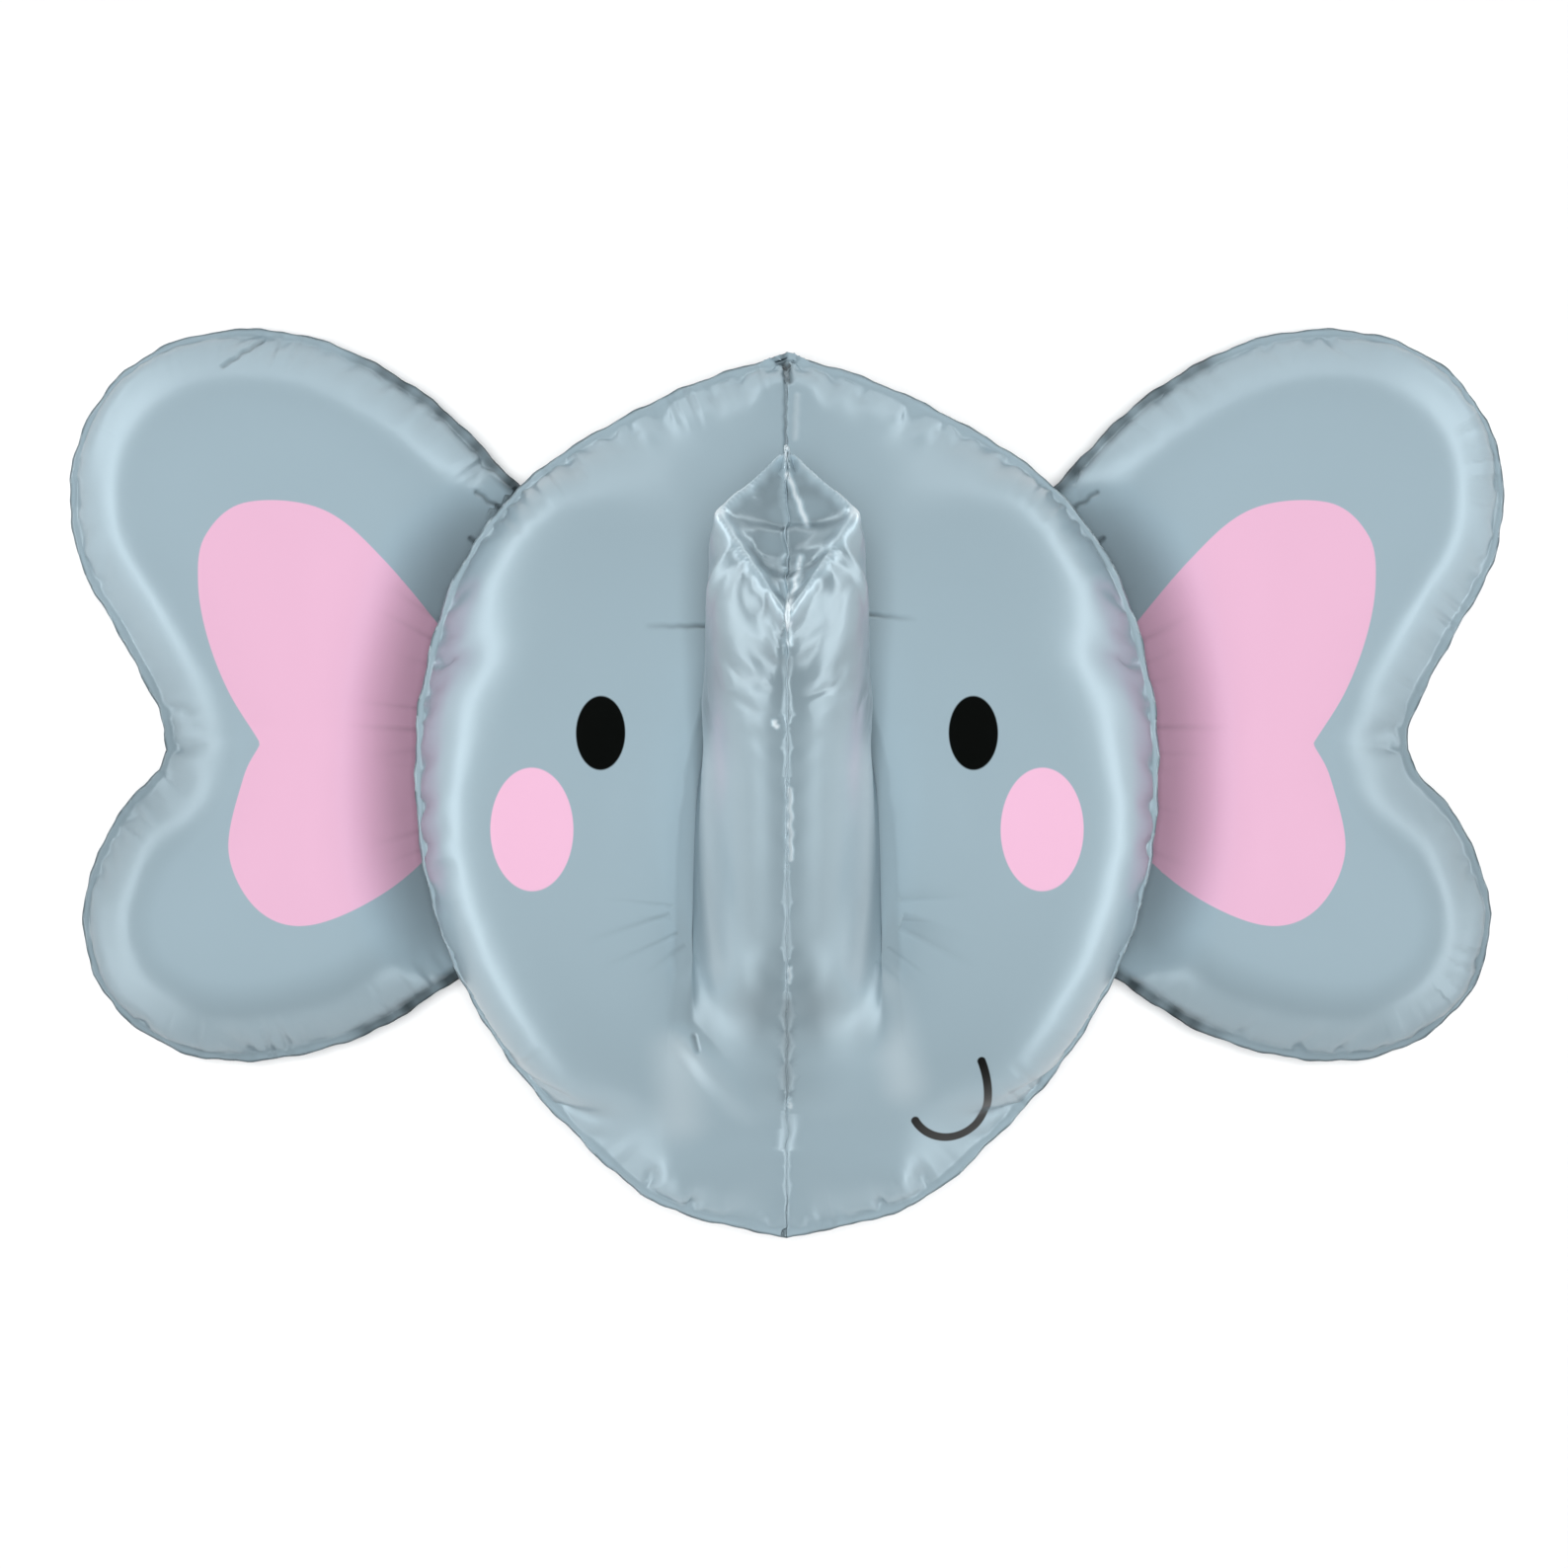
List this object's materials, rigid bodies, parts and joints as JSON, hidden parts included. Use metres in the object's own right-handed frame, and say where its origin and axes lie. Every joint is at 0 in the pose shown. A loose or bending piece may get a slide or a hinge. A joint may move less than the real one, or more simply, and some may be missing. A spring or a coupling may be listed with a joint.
{
  "type": "elephant foil balloon",
  "caption": "Inflated foil balloon in the form of an elephant's head, lying on its back, with a raised trunk and a two-lobed ear on each side",
  "frame": {"origin": "centre of the small flat spot under the back of the head, where the balloon lies", "axes": "+X is the viewer's right when facing the face, +Y is towards the crown, +Z is out of the face"},
  "size_m": [0.8206, 0.5137, 0.421],
  "materials": {
    "face_foil": "satin grey-blue printed foil with black eyes and mouth and pink cheeks",
    "ear_foil": "satin grey-blue printed foil with a pink inner ear"
  },
  "bodies": {
    "root": {"head_and_trunk": "face_foil", "ear_left": "ear_foil", "ear_right": "ear_foil"}
  },
  "joints": []
}
